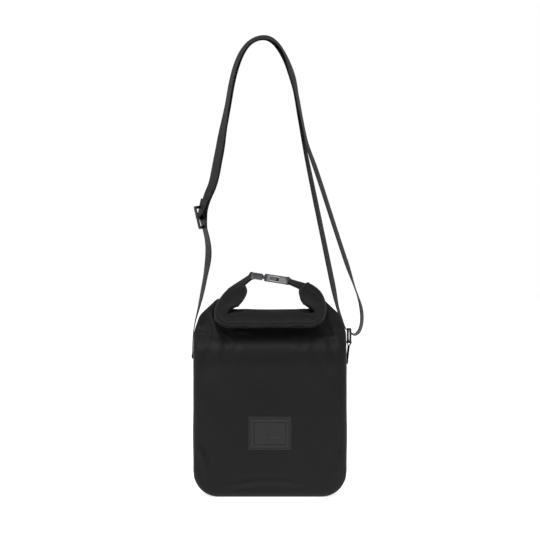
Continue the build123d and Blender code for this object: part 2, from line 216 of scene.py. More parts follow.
def finishPiece(piece, material, body=None, replaced=()):
    # its material and slot, the body it rides on and the CAD nodes it stands for
    piece.data.materials.clear()
    piece.data.materials.append(material)
    if body:
        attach(piece, body)
    if replaced:
        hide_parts(*replaced)
    return piece


camera = {"distance": 5.0, "height": 0.3258, "pictureWidth": 0.783, "sensor": 36.0, "farClip": 50.0}


def makeCamera():
    # lens = sensor width x distance / width of the picture at the bag's middle
    data = bpy.data.cameras.new("camera")
    data.sensor_width = camera["sensor"]
    data.lens = camera["sensor"] * camera["distance"] / camera["pictureWidth"]
    data.clip_end = camera["farClip"]
    eye = bpy.data.objects.new("camera", data)
    eye.location = (0, -camera["distance"], camera["height"])
    eye.rotation_euler = (math.radians(90), 0, 0)
    bpy.context.scene.collection.objects.link(eye)
    bpy.context.scene.camera = eye


studio = {
    "floor": "#fafafa", "floorHalf": 30.0, "floorRoughness": 0.9, "floorGlow": 0.8,
    "world": "#ffffff", "worldStrength": 0.4, "viewTransform": "Standard", "lightTarget": (0, 0, 0.25),
    # each light's place, the side of its square and its power, in metres and watts
    "lights": {"top_light": ((-0.3, -0.7, 2.1), 1.2, 14), "left_light": ((-2.2, -1.2, 1.1), 1.0, 8),
               "right_light": ((2.3, -1.0, 1.0), 0.9, 5)},
}


def plainMaterial(name):
    # a new material with its nodes and its one shader
    material = bpy.data.materials.new(name)
    material.use_nodes = True
    return material, material.node_tree, material.node_tree.nodes["Principled BSDF"]


def areaLight(name, place, target, size, power):
    # a square soft light turned to its target: tilt = atan2(level distance, drop), heading from the level way
    data = bpy.data.lights.new(name, "AREA")
    data.energy, data.size = power, size
    lamp = bpy.data.objects.new(name, data)
    lamp.location = place
    way = np.array(target, float) - np.array(place, float)
    tilt = math.atan2(math.hypot(way[0], way[1]), -way[2])
    lamp.rotation_euler = (tilt, 0, math.atan2(way[0], -way[1]) + math.pi)
    bpy.context.scene.collection.objects.link(lamp)


def makeStudio():
    # one wide flat floor, painted white and glowing a little, that runs out to a white surrounding
    side = studio["floorHalf"] * np.linspace(-1, 1, 9)
    x, y = np.meshgrid(side, side)
    grid = np.stack([x, y, np.zeros_like(x)], axis=2)
    floor = gridMesh("studio_floor", grid, np.concatenate([grid, grid[:, -1:]], axis=1)[:, :, :2])
    paint, tree, shader = plainMaterial("matt studio paint")
    putNode(tree, shader, None, Base_Color=linearColour(studio["floor"]), Roughness=studio["floorRoughness"],
            Emission_Color=linearColour(studio["world"]), Emission_Strength=studio["floorGlow"])
    floor.data.materials.append(paint)
    world = bpy.data.worlds.new("studio")
    bpy.context.scene.world = world
    world.use_nodes = True
    # strength = what lights the bag, or full white where the camera sees it
    tree = world.node_tree
    seen = putNode(tree, "ShaderNodeLightPath").outputs["Is Camera Ray"]
    strength = putNode(tree, "ShaderNodeMapRange", None, Value=seen, To_Min=studio["worldStrength"])
    putNode(tree, tree.nodes["Background"], None, Color=linearColour(studio["world"]), Strength=strength)
    for name, (place, size, power) in studio["lights"].items():
        areaLight(name, place, studio["lightTarget"], size, power)


makeCamera()
makeStudio()
bpy.context.scene.view_settings.view_transform = studio["viewTransform"]
print("camera and studio ready")


def threads(tree, uvNode, pitch):
    # a plain weave: sine of place across times sine of place along, each one cycle per two threads, so that
    # warp and weft stand up in turn
    parts = putNode(tree, "ShaderNodeSeparateXYZ", None, n0=uvNode)
    waves = []
    for i in (0, 1):
        angle = putNode(tree, "ShaderNodeMath", {"operation": "MULTIPLY"}, n0=parts.outputs[i],
                        n1=math.pi / pitch)
        waves.append(putNode(tree, "ShaderNodeMath", {"operation": "SINE"}, n0=angle))
    return putNode(tree, "ShaderNodeMath", {"operation": "MULTIPLY"}, n0=waves[0], n1=waves[1])


fabric = {"tones": [(0.3, "#0d0d0e"), (0.75, "#131314")], "roughness": (0.46, 0.6), "threadPitch": 1.3,
          "threadShade": (0.72, 1.25), "threadHeight": 0.12}


def wovenFabric():
    # tight plain-weave polyester with a thin coating: matt, a fine thread texture and a weak sheen at grazing
    # angles. Real threads are about 0.35 mm apart; they are drawn 1.3 mm apart so that they show.
    s = fabric
    material, tree, shader = plainMaterial("coated plain-weave polyester")
    weave = threads(tree, putNode(tree, "ShaderNodeUVMap", {"uv_map": "UVMap"}), s["threadPitch"] * mm)
    place = putNode(tree, "ShaderNodeTexCoord").outputs["Object"]
    slubs = putNode(tree, "ShaderNodeTexNoise", None, Vector=place, Scale=55.0, Detail=5.0).outputs["Fac"]
    cloud = putNode(tree, "ShaderNodeTexNoise", None, Vector=place, Scale=9.0, Detail=3.0).outputs["Fac"]
    tone = putNode(tree, "ShaderNodeValToRGB", {"stops": s["tones"]}, Fac=cloud)
    low, high = s["threadShade"]
    lit = putNode(tree, "ShaderNodeMapRange", None, Value=weave, From_Min=-1.0, To_Min=low, To_Max=high)
    mixed = putNode(tree, "ShaderNodeMix", {"data_type": "RGBA", "blend_type": "MULTIPLY"}, n0=1.0, n6=tone,
                    n7=lit)
    low, high = s["roughness"]
    rough = putNode(tree, "ShaderNodeMapRange", None, Value=slubs, To_Min=low, To_Max=high)
    height = putNode(tree, "ShaderNodeMath", {"operation": "MULTIPLY_ADD"}, n0=slubs, n1=0.8, n2=weave)
    bump = putNode(tree, "ShaderNodeBump", None, Strength=0.35, Distance=s["threadHeight"] * mm, Height=height)
    putNode(tree, shader, None, Base_Color=mixed.outputs[2], Roughness=rough, Normal=bump, Sheen_Weight=0.04,
            Sheen_Roughness=0.4, Specular_IOR_Level=0.22)
    return material


webbing = {"ribPitch": 1.6, "linePitch": 1.25, "slant": 0.8, "lineShare": 0.45, "ribHeight": 0.3,
           "edgeBand": (2.6, 1.6), "roughness": (0.45, 0.7)}


def ribbedWebbing(name, dark, light, width):
    # flat polyester webbing: thick cross ribs 1.6 mm apart, a herringbone that turns at the middle, and a
    # smoother woven edge; satin threads
    s = webbing
    material, tree, shader = plainMaterial(name)
    uv = putNode(tree, "ShaderNodeUVMap", {"uv_map": "UVMap"})
    parts = putNode(tree, "ShaderNodeSeparateXYZ", None, n0=uv)
    across = putNode(tree, "ShaderNodeMath", {"operation": "ABSOLUTE"}, n0=parts.outputs[0])
    slant = putNode(tree, "ShaderNodeMath", {"operation": "MULTIPLY_ADD"}, n0=across, n1=s["slant"],
                    n2=parts.outputs[1])
    waves = []
    for place, wave, pitch in ((slant, "SINE", s["ribPitch"]), (across, "COSINE", s["linePitch"])):
        angle = putNode(tree, "ShaderNodeMath", {"operation": "MULTIPLY"}, n0=place,
                        n1=2 * math.pi / (pitch * mm))
        waves.append(putNode(tree, "ShaderNodeMath", {"operation": wave}, n0=angle))
    ribs, lines = waves
    height = putNode(tree, "ShaderNodeMath", {"operation": "MULTIPLY_ADD"}, n0=lines, n1=s["lineShare"],
                     n2=ribs)
    start, end = (width / 2 - inset * mm for inset in s["edgeBand"])
    edge = putNode(tree, "ShaderNodeMapRange", None, Value=across, From_Min=start, From_Max=end)
    shade = putNode(tree, "ShaderNodeMapRange", None, Value=height, From_Min=-1.2, From_Max=1.2)
    colour = putNode(tree, "ShaderNodeValToRGB", {"stops": [(0, dark), (1, light)]}, Fac=shade)
    edged = putNode(tree, "ShaderNodeMix", {"data_type": "RGBA"}, n0=edge, n6=colour, n7=linearColour(dark))
    bump = putNode(tree, "ShaderNodeBump", None, Strength=0.6, Distance=s["ribHeight"] * mm, Height=height)
    fuzz = putNode(tree, "ShaderNodeTexNoise", None, Vector=uv, Scale=900.0, Detail=3.0).outputs["Fac"]
    low, high = s["roughness"]
    rough = putNode(tree, "ShaderNodeMapRange", None, Value=fuzz, To_Min=low, To_Max=high)
    putNode(tree, shader, None, Base_Color=edged.outputs[2], Roughness=rough, Normal=bump, Sheen_Weight=0.06,
            Sheen_Roughness=0.35, Specular_IOR_Level=0.25)
    return material


acetal = {"tones": [(0, "#1c1c1d"), (1, "#29292b")], "roughness": (0.28, 0.46), "grainHeight": 0.05,
          "ior": 1.48}


def mouldedAcetal():
    # injection-moulded acetal: satin black with a fine spark-eroded grain, a little polished where it rubs
    s = acetal
    material, tree, shader = plainMaterial("moulded black acetal")
    place = putNode(tree, "ShaderNodeTexCoord").outputs["Object"]
    grain = putNode(tree, "ShaderNodeTexNoise", None, Vector=place, Scale=2600.0, Detail=4.0).outputs["Fac"]
    wear = putNode(tree, "ShaderNodeTexNoise", None, Vector=place, Scale=160.0, Detail=3.0).outputs["Fac"]
    low, high = s["roughness"]
    rough = putNode(tree, "ShaderNodeMapRange", None, Value=wear, To_Min=low, To_Max=high)
    tone = putNode(tree, "ShaderNodeValToRGB", {"stops": s["tones"]}, Fac=wear)
    bump = putNode(tree, "ShaderNodeBump", None, Strength=0.15, Distance=s["grainHeight"] * mm, Height=grain)
    putNode(tree, shader, None, Base_Color=tone, Roughness=rough, Normal=bump, IOR=s["ior"])
    return material


# the pale tone below is a painted highlight laid on the sharpest edges
nylon = {"tones": [(0.3, "#1f1f21"), (0.8, "#323235")], "edgeHighlightTone": "#77777b", "roughness": (0.24, 0.4),
         "streakScale": (140.0, 900.0, 900.0), "streakHeight": 0.05, "ior": 1.53}


def greyNylon():
    # glass-filled nylon, moulded: dark grey with pale glass streaks, a satin skin and a painted highlight on
    # its sharp edges
    s = nylon
    material, tree, shader = plainMaterial("glass-filled grey nylon")
    place = putNode(tree, "ShaderNodeTexCoord").outputs["Object"]
    streaked = putNode(tree, "ShaderNodeMapping", None, Vector=place, Scale=s["streakScale"])
    streaks = putNode(tree, "ShaderNodeTexNoise", None, Vector=streaked, Scale=1.0, Detail=4.0).outputs["Fac"]
    tone = putNode(tree, "ShaderNodeValToRGB", {"stops": s["tones"]}, Fac=streaks)
    # painted edge highlight: the sharpest edges, found by their pointiness, are coloured pale grey
    bends = putNode(tree, "ShaderNodeNewGeometry").outputs["Pointiness"]
    edgeHighlightMask = putNode(tree, "ShaderNodeMapRange", None, Value=bends, From_Min=0.52, From_Max=0.6)
    edged = putNode(tree, "ShaderNodeMix", {"data_type": "RGBA"}, n0=edgeHighlightMask, n6=tone,
                    n7=linearColour(s["edgeHighlightTone"]))
    low, high = s["roughness"]
    rough = putNode(tree, "ShaderNodeMapRange", None, Value=streaks, To_Min=low, To_Max=high)
    bump = putNode(tree, "ShaderNodeBump", None, Strength=0.15, Distance=s["streakHeight"] * mm, Height=streaks)
    putNode(tree, shader, None, Base_Color=edged.outputs[2], Roughness=rough, Normal=bump, IOR=s["ior"])
    return material


leather = {"tones": [(0, "#0e0e11"), (1, "#16161a")], "roughness": (0.5, 0.68), "pebbleHeight": 0.08}


def pressedLeather():
    # fine-grained coated leather board, heat-pressed: nearly black, small pebbles under 1 mm
    s = leather
    material, tree, shader = plainMaterial("pressed label leather")
    place = putNode(tree, "ShaderNodeTexCoord").outputs["Object"]
    pebble = putNode(tree, "ShaderNodeTexVoronoi", {"feature": "DISTANCE_TO_EDGE"}, Vector=place, Scale=1100.0)
    broad = putNode(tree, "ShaderNodeTexNoise", None, Vector=place, Scale=70.0, Detail=4.0).outputs["Fac"]
    tone = putNode(tree, "ShaderNodeValToRGB", {"stops": s["tones"]}, Fac=broad)
    low, high = s["roughness"]
    rough = putNode(tree, "ShaderNodeMapRange", None, Value=broad, To_Min=low, To_Max=high)
    bump = putNode(tree, "ShaderNodeBump", None, Strength=0.25, Distance=s["pebbleHeight"] * mm,
                   Height=pebble.outputs["Distance"])
    putNode(tree, shader, None, Base_Color=tone, Roughness=rough, Normal=bump)
    return material


thread = {"tones": [(0, "#161617"), (1, "#323234")], "roughness": 0.5, "twistHeight": 0.1}


def sewingThread():
    # bonded polyester thread: satin, twisted; the twist shows as a slanted ripple
    s = thread
    material, tree, shader = plainMaterial("bonded sewing thread")
    place = putNode(tree, "ShaderNodeTexCoord").outputs["Object"]
    twist = putNode(tree, "ShaderNodeTexWave", {"bands_direction": "DIAGONAL"}, Vector=place, Scale=1200.0,
                    Distortion=1.5).outputs["Fac"]
    tone = putNode(tree, "ShaderNodeValToRGB", {"stops": s["tones"]}, Fac=twist)
    bump = putNode(tree, "ShaderNodeBump", None, Strength=0.4, Distance=s["twistHeight"] * mm, Height=twist)
    putNode(tree, shader, None, Base_Color=tone, Roughness=s["roughness"], Normal=bump)
    return material


taffeta = {"tones": [(0, "#303032"), (1, "#3a3a3c")], "roughness": 0.55, "waveHeight": 0.3}


def softLining():
    # thin plain lining taffeta: smooth, slightly shiny
    s = taffeta
    material, tree, shader = plainMaterial("lining taffeta")
    place = putNode(tree, "ShaderNodeTexCoord").outputs["Object"]
    cloud = putNode(tree, "ShaderNodeTexNoise", None, Vector=place, Scale=40.0, Detail=5.0).outputs["Fac"]
    tone = putNode(tree, "ShaderNodeValToRGB", {"stops": s["tones"]}, Fac=cloud)
    bump = putNode(tree, "ShaderNodeBump", None, Strength=0.2, Distance=s["waveHeight"] * mm, Height=cloud)
    putNode(tree, shader, None, Base_Color=tone, Roughness=s["roughness"], Normal=bump)
    return material


cottonTape = {"tones": [(0, "#1c1c1d"), (1, "#2a2a2c")], "roughness": 0.85, "ribHeight": 0.2}


def seamTape():
    # herringbone cotton tape over the inside seams: dull, with slanted ribs about 1.2 mm apart
    s = cottonTape
    material, tree, shader = plainMaterial("cotton seam tape")
    place = putNode(tree, "ShaderNodeTexCoord").outputs["Object"]
    ribs = putNode(tree, "ShaderNodeTexWave", {"bands_direction": "DIAGONAL"}, Vector=place, Scale=260.0,
                   Distortion=0.6).outputs["Fac"]
    tone = putNode(tree, "ShaderNodeValToRGB", {"stops": s["tones"]}, Fac=ribs)
    bump = putNode(tree, "ShaderNodeBump", None, Strength=0.4, Distance=s["ribHeight"] * mm, Height=ribs)
    putNode(tree, shader, None, Base_Color=tone, Roughness=s["roughness"], Normal=bump)
    return material


board = {"tones": [(0, "#2b2b2c"), (1, "#343436")], "roughness": 0.42, "lineScale": (40.0, 900.0, 900.0),
         "lineHeight": 0.1}


def greyBoard():
    # extruded polyethylene board: smooth, waxy, with faint drawing lines along it
    s = board
    material, tree, shader = plainMaterial("polyethylene board")
    place = putNode(tree, "ShaderNodeTexCoord").outputs["Object"]
    drawn = putNode(tree, "ShaderNodeMapping", None, Vector=place, Scale=s["lineScale"])
    lines = putNode(tree, "ShaderNodeTexNoise", None, Vector=drawn, Scale=1.0, Detail=3.0).outputs["Fac"]
    tone = putNode(tree, "ShaderNodeValToRGB", {"stops": s["tones"]}, Fac=lines)
    bump = putNode(tree, "ShaderNodeBump", None, Strength=0.15, Distance=s["lineHeight"] * mm, Height=lines)
    putNode(tree, shader, None, Base_Color=tone, Roughness=s["roughness"], Normal=bump)
    return material


fabricLook = wovenFabric()
strapLook = ribbedWebbing("herringbone shoulder webbing", "#060607", "#161617", strapWidth)
closureLook = ribbedWebbing("herringbone closure webbing", "#060607", "#161617", 20 * mm)
bindingLook = ribbedWebbing("grosgrain edge binding", "#101011", "#262627", 6 * mm)
plasticLook = mouldedAcetal()
buckleLook = greyNylon()
labelLook = pressedLeather()
threadLook = sewingThread()
liningLook = softLining()
bindingTape = seamTape()
boardLook = greyBoard()
print("materials ready")


bodyShape = {
    "outlineCount": 420, "faceRings": 78, "edgeSteps": 9, "edgeRadius": 7.5, "acrossCount": 56, "cloth": 1.1,
    # right half of the front outline, upwards from the base: (x, z, rounding), mm
    "outline": [(110, 0, 36), (110, 237, 34), (102, 260.5, 22), (77, 284, 10), (64, 286, 5), (51, 262, 8)],
    "neckStart": (53, 266),
    # front and back faces seen from the side: (height, y)
    "frontLine": [(0, -55.5), (30, -57), (194, -57), (216, -50.5), (238, -25.5), (250, -21), (292, -20.4)],
    "backLine": [(0, 55.5), (30, 57), (179, 57), (209, 45.5), (244, -4.4), (292, -5.4)],
    "profileRounding": 7.0,
    "bulge": 1.2, "bulgeHeight": 205, "ripple": 0.3, "sideSwell": 1.2, "sideHollow": 3.6, "sideCrease": 0.5,
    "seamPucker": 0.25, "ringCentre": (0.0, 130.0),
    # the cloth is calm where the label is sewn on: middle height, how far out, and over what it fades
    "calm": (92, 60, 25),
    # the strip's rounded seam edges: distance from the face, and how far each point sinks in
    "hem": [(-0.3, 2.4), (0.1, 1.0), (0.6, 0.35), (1.4, 0.08), (2.6, 0.0)],
}

# soft folds in the cloth: start and end on the face (x, z), half width, depth, all mm
frontFolds = [
    ((-83, 270), (-99, 200), 6, 2.8), ((-70, 246), (-90, 172), 9, 2.4), ((-52, 240), (-60, 205), 5, 1.6),
    ((82, 268), (100, 196), 6, 2.6), ((66, 246), (86, 180), 9, 2.2), ((50, 240), (56, 210), 5, 1.4),
    ((-106, 240), (-62, 229), 3.2, 2.0), ((-64, 236), (-14, 233), 4, 1.6), ((106, 236), (64, 228), 3.2, 1.8),
    ((66, 235), (20, 233), 4, 1.5), ((-101, 70), (-92, 22), 5, 1.8), ((100, 64), (93, 24), 6, 1.2),
    ((-98, 150), (-90, 80), 16, 0.9), ((95, 160), (88, 84), 16, 0.9), ((-30, 190), (25, 176), 16, 0.6),
    ((-88, 268), (-76, 230), 2.6, 2.4), ((-72, 238), (-52, 222), 2.6, 1.6), ((-60, 16), (62, 15), 3.5, 0.9),
    ((-34, 214), (-70, 190), 10, 0.9), ((28, 212), (66, 196), 10, 0.9),
]
backFolds = [
    ((-84, 236), (-100, 170), 8, 2.8), ((82, 236), (97, 176), 8, 2.6), ((-46, 226), (-60, 180), 7, 1.8),
    ((44, 226), (60, 172), 7, 1.8), ((-100, 224), (-40, 214), 5, 1.6), ((40, 214), (100, 222), 5, 1.6),
    ((-20, 150), (30, 130), 16, 1.0), ((-90, 60), (-60, 24), 12, 1.2), ((92, 66), (64, 26), 12, 1.2),
]


def bodyOutline(count):
    # the bag seen from the front, anticlockwise from the right of the base
    right = bodyShape["outline"]
    left = [(-x, z, r) for x, z, r in right[::-1]]
    return roundedOutline(right + left, count)


def inwardNormals(line):
    # each point's tangent, turned a quarter turn towards the inside
    ahead = np.roll(line, -1, axis=0) - np.roll(line, 1, axis=0)
    ahead /= np.linalg.norm(ahead, axis=1)[:, None]
    return np.stack([-ahead[:, 1], ahead[:, 0]], axis=1)


def foldDepth(x, z, folds):
    # each fold is a ridge: a bell curve of the distance from its line, faded in and out along the line,
    # with a shallower hollow beside it
    total = np.zeros_like(x)
    for (x0, z0), (x1, z1), halfWidth, depth in folds:
        run = np.hypot(x1 - x0, z1 - z0)
        ux, uz = (x1 - x0) / run, (z1 - z0) / run
        along = (x - x0) * ux + (z - z0) * uz
        across = (x - x0) * uz - (z - z0) * ux + 0.06 * run * np.sin(along / run * 3.1)
        window = smoothStep(along / (0.35 * run) + 0.4) * smoothStep((run - along) / (0.6 * run) + 0.2)
        ridge = np.exp(-(across / halfWidth) ** 2) - 0.45 * np.exp(-((across / halfWidth - 1.9) / 1.1) ** 2)
        total += depth * ridge * window
    return total


def profileAt(z, line):
    # straight runs between the stations, rounded by a weighted average over heights above and below
    stations = np.array(bodyShape[line], float)
    reach = np.linspace(-2, 2, 17)
    weight = np.exp(-reach ** 2)
    total = sum(w * np.interp(z + r * bodyShape["profileRounding"], stations[:, 0], stations[:, 1])
                for r, w in zip(reach, weight))
    return total / weight.sum()


def faceY(x, z, line, folds, side):
    # the face's depth: its side profile, a pillow bulge that fades to the edges, and the folds
    s = bodyShape
    pillow = s["bulge"] * (1 - np.clip(np.abs(x * mm) / sideX, 0, 1) ** 3)
    pillow = pillow * np.sin(np.clip(z / s["bulgeHeight"], 0, 1) * math.pi)
    ripple = s["ripple"] * np.sin(x / 17.0 + z / 41.0) * np.sin(z / 23.0 - x / 60.0)
    calmMiddle, calmReach, calmFade = s["calm"]
    calm = 1 - 0.9 * smoothStep((calmReach - np.hypot(x, (z - calmMiddle) * 1.2)) / calmFade)
    return profileAt(z, line) + side * (pillow + (foldDepth(x, z, folds) + ripple) * calm)


def edgeTurn(x, z):
    # the radius at which a face turns into the side: the edge radius, less where the neck is thin
    deep = faceY(x, z, "backLine", backFolds, 1) - faceY(x, z, "frontLine", frontFolds, -1)
    return np.minimum(bodyShape["edgeRadius"], deep * 0.3)


def panelFace(name, line, folds, side):
    # rings from the side seam round the edge, then shrinking to the middle, their depth from faceY.
    # Round the edge: inset = radius (1 - cos a), depth behind the face = radius (1 - sin a).
    s = bodyShape
    edge = bodyOutline(s["outlineCount"])
    normal = inwardNormals(edge)
    radius = edgeTurn(edge[:, 0], edge[:, 1])
    turn = np.linspace(0, math.pi / 2, s["edgeSteps"])[:, None]
    hem = [np.full((1, len(edge)), 2.4), np.full((1, len(edge)), 0.9)]
    inset = np.concatenate(hem + [0.2 + radius * (1 - np.cos(turn))])
    depth = np.concatenate([radius[None] + 0.3, radius[None] + 0.1, radius * (1 - np.sin(turn))])
    rim = edge[None] + normal[None] * inset[:, :, None]
    centre = np.array(s["ringCentre"])
    share = 1 - np.linspace(0, 0.995, s["faceRings"])[1:] ** 1.1
    inside = centre + (rim[-1] - centre)[None] * share[:, None, None]
    flat = np.concatenate([rim, inside])
    depth = np.concatenate([depth, np.zeros((len(inside), len(edge)))])
    x, z = flat[:, :, 0], flat[:, :, 1]
    y = faceY(x, z, line, folds, side) - side * depth
    grid = np.stack([x, y, np.maximum(z, 0)], axis=2)
    uv = np.concatenate([grid[:, :, [0, 2]], grid[:, :1, [0, 2]]], axis=1) * mm
    return gridMesh(name, grid * mm, uv, wrap=True, endCap=True, flip=side > 0)


def sideStrip():
    # the gusset: one strip down the left side, under the base and up the right side. Across it, the cloth
    # comes out of the front seam, crosses the side and goes into the back seam.
    s = bodyShape
    edge = bodyOutline(s["outlineCount"] * 2)
    normal = inwardNormals(edge)
    nx, nz = s["neckStart"]
    first = int(np.argmin(np.hypot(edge[:, 0] + nx, edge[:, 1] - nz)))
    order = (first + np.arange(len(edge))) % len(edge)
    edge, normal = edge[order], normal[order]
    last = int(np.argmin(np.hypot(edge[:, 0] - nx, edge[:, 1] - nz)))
    edge, normal = edge[:last + 1], normal[:last + 1]
    x, z = edge[:, 0], edge[:, 1]
    radius = edgeTurn(x, z)
    front = faceY(x, z, "frontLine", frontFolds, -1) + radius
    back = faceY(x, z, "backLine", backFolds, 1) - radius
    hem, hemInset = np.array(s["hem"]).T
    room = (back - front)[:, None]
    middle = np.linspace(0, 1, s["acrossCount"])[1:-1]
    squeeze = np.minimum(1, room / 12)
    frontPart = front[:, None] + hem * squeeze
    backPart = back[:, None] - hem[::-1] * squeeze
    flatPart = frontPart[:, -1:] + (backPart[:, :1] - frontPart[:, -1:]) * middle
    y = np.concatenate([frontPart, flatPart, backPart], axis=1)
    insets = np.concatenate([hemInset, np.zeros(len(middle)), hemInset[::-1]])[None]
    # the side sinks between the seams near the top, where the gusset folds inwards, and swells lower down
    share = np.clip((y - front[:, None]) / room, 0, 1)
    high = smoothStep((z - 205) / 40)[:, None] * (np.abs(x) > 60)[:, None]
    low = (smoothStep(z / 40) * smoothStep((232 - z) / 60))[:, None] * (np.abs(x) > 100)[:, None]
    hollow = s["sideHollow"] * high * np.exp(-((share - 0.42) / 0.18) ** 2)
    swell = -s["sideSwell"] * low * np.sin(share * math.pi)
    crease = s["sideCrease"] * low * np.sin(z / 19.0)[:, None] * np.sin(share * math.pi * 2.2)
    pucker = s["seamPucker"] * np.exp(-((share - 0.04) / 0.03) ** 2) * np.sin(z / 2.4)[:, None]
    move = insets + hollow + swell + crease + pucker * low
    movedX, movedZ = x[:, None] + normal[:, :1] * move, z[:, None] + normal[:, 1:] * move
    grid = np.stack([movedX, y, np.maximum(movedZ, 0)], axis=2)
    across = np.linspace(0, (backY - frontY) / mm, y.shape[1])
    return gridMesh("side_and_base_strip", grid * mm, uvGrid(across, lengthAlong(edge)) * mm)


def giveThickness(piece, thickness):
    # a wall that grows inwards from the surface
    wall = piece.modifiers.new("wall", "SOLIDIFY")
    wall.thickness = thickness * mm
    wall.offset = -1


def makeBody():
    # front, back and the strip between them, all of the same cloth
    front = panelFace("front_cloth", "frontLine", frontFolds, -1)
    back = panelFace("back_cloth", "backLine", backFolds, 1)
    strip = sideStrip()
    for piece, replaced in ((front, ["front_panel"]), (back, ["back_panel"]),
                            (strip, ["left_gusset", "right_gusset", "base_panel"])):
        giveThickness(piece, bodyShape["cloth"])
        finishPiece(piece, fabricLook, "bag", replaced)


makeBody()
print("bag body made")


label = {
    "columns": 190, "rows": 150, "thickness": 1.3, "corner": 1.6, "stitchInset": 2.6, "frameInset": 5.0,
    "fieldInset": 8.2, "stitchLength": 2.3, "stitchGap": 1.0, "threadRadius": 0.28, "backing": 0.7,
    "rim": 0.9, "sunk": 0.25, "stitchArch": 0.3, "stitchSunk": 0.45,
    # depth and half width of each pressed line, and height and half width of the raised frame
    "stitchDent": (0.55, 0.6), "frameRise": (0.2, 1.0), "fieldDent": (0.85, 0.55), "rhombusDent": (0.6, 0.7),
    # the rhombus: half height, slimness, middle height; the bar: half length, half height, middle height, depth
    "rhombus": (6.4, 1.35, 3.6), "bar": (13.5, 1.3, -8.2, 0.5), "fieldRise": 0.12,
}
labelLow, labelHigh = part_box("label_patch")
labelX, labelZ = (labelLow.x + labelHigh.x) / 2 / mm, (labelLow.z + labelHigh.z) / 2 / mm
labelHalfX, labelHalfZ = (labelHigh.x - labelLow.x) / 2 / mm, (labelHigh.z - labelLow.z) / 2 / mm


def frontCloth(x, z):
    # the front face's y at each place
    return faceY(x, z, "frontLine", frontFolds, -1)


def dent(distance, depth, halfWidth):
    # a pressed line: its depth times a bell curve of the distance from it
    return depth * np.exp(-(distance / halfWidth) ** 2)


def makeLabel():
    # a height field over the label: a rounded rim, a sunk stitch line, a raised frame, a line pressed round
    # the field, and pressed into the field a plain rhombus outline over a short bar
    s = label
    x = np.linspace(-labelHalfX, labelHalfX, s["columns"])[None] * np.ones((s["rows"], 1))
    z = np.linspace(-labelHalfZ, labelHalfZ, s["rows"])[:, None] * np.ones((1, s["columns"]))
    qx, qz = np.abs(x) - labelHalfX + s["corner"], np.abs(z) - labelHalfZ + s["corner"]
    fromEdge = s["corner"] - np.hypot(np.maximum(qx, 0), np.maximum(qz, 0)) - np.minimum(np.maximum(qx, qz), 0)
    height = s["thickness"] * np.sqrt(np.clip(1 - (1 - np.clip(fromEdge / s["rim"], 0, 1)) ** 2, 0, 1))
    height -= dent(fromEdge - s["stitchInset"], *s["stitchDent"])
    height += dent(fromEdge - s["frameInset"], *s["frameRise"])
    height -= dent(fromEdge - s["fieldInset"], *s["fieldDent"])
    height += s["fieldRise"] * smoothStep((fromEdge - s["fieldInset"] - 0.6) / 0.8)
    size, slimness, middle = s["rhombus"]
    height -= dent(np.abs(x) / slimness + np.abs(z - middle) - size, *s["rhombusDent"])
    halfLength, halfHeight, middle, depth = s["bar"]
    across, up = halfLength - np.abs(x), halfHeight - np.abs(z - middle)
    height -= depth * smoothStep(across / 0.8) * smoothStep(up / 0.6)
    y = frontCloth(x + labelX, z + labelZ) - height + s["sunk"]
    grid = np.stack([x + labelX, y, z + labelZ], axis=2)
    uv = np.concatenate([grid, grid[:, -1:]], axis=1)[:, :, [0, 2]] * mm
    piece = gridMesh("label", grid * mm, uv)
    giveThickness(piece, s["backing"])
    finishPiece(piece, labelLook, "bag", ["label_patch"])


def roundBar(path, radius, sides=6):
    # circles of points carried along the path, drawn in at both ends to about a third of the radius
    ahead = tangents(path)
    seed = np.array([0.0, 1.0, 0.0]) if abs(ahead[0, 1]) < 0.9 else np.array([1.0, 0.0, 0.0])
    first = np.cross(ahead, seed)
    first /= np.linalg.norm(first, axis=1)[:, None]
    second = np.cross(ahead, first)
    turn = np.linspace(0, 2 * math.pi, sides, endpoint=False)
    size = np.full(len(path), radius)
    size[0] = size[-1] = radius * 0.35
    return path[:, None] + size[:, None, None] * (first[:, None] * np.cos(turn)[None, :, None]
                                                  + second[:, None] * np.sin(turn)[None, :, None])


def threadMesh(name, bars):
    # many short bars in one mesh: each bar's rings made into quads, and its two end rings filled
    points, faces, start = [], [], 0
    for grid in bars:
        rows, cols = grid.shape[:2]
        r, c = np.meshgrid(np.arange(rows - 1), np.arange(cols), indexing="ij")
        r, c = r.ravel(), c.ravel()
        n = (c + 1) % cols
        quads = start + np.stack([r * cols + c, (r + 1) * cols + c, (r + 1) * cols + n, r * cols + n], axis=1)
        faces += quads[:, ::-1].tolist()
        faces.append((start + np.arange(cols))[::-1].tolist())
        faces.append((start + (rows - 1) * cols + np.arange(cols)).tolist())
        points.append(grid.reshape(-1, 3))
        start += rows * cols
    mesh = bpy.data.meshes.new(name)
    mesh.from_pydata(np.concatenate(points).tolist(), [], faces)
    return smoothPiece(name, mesh)


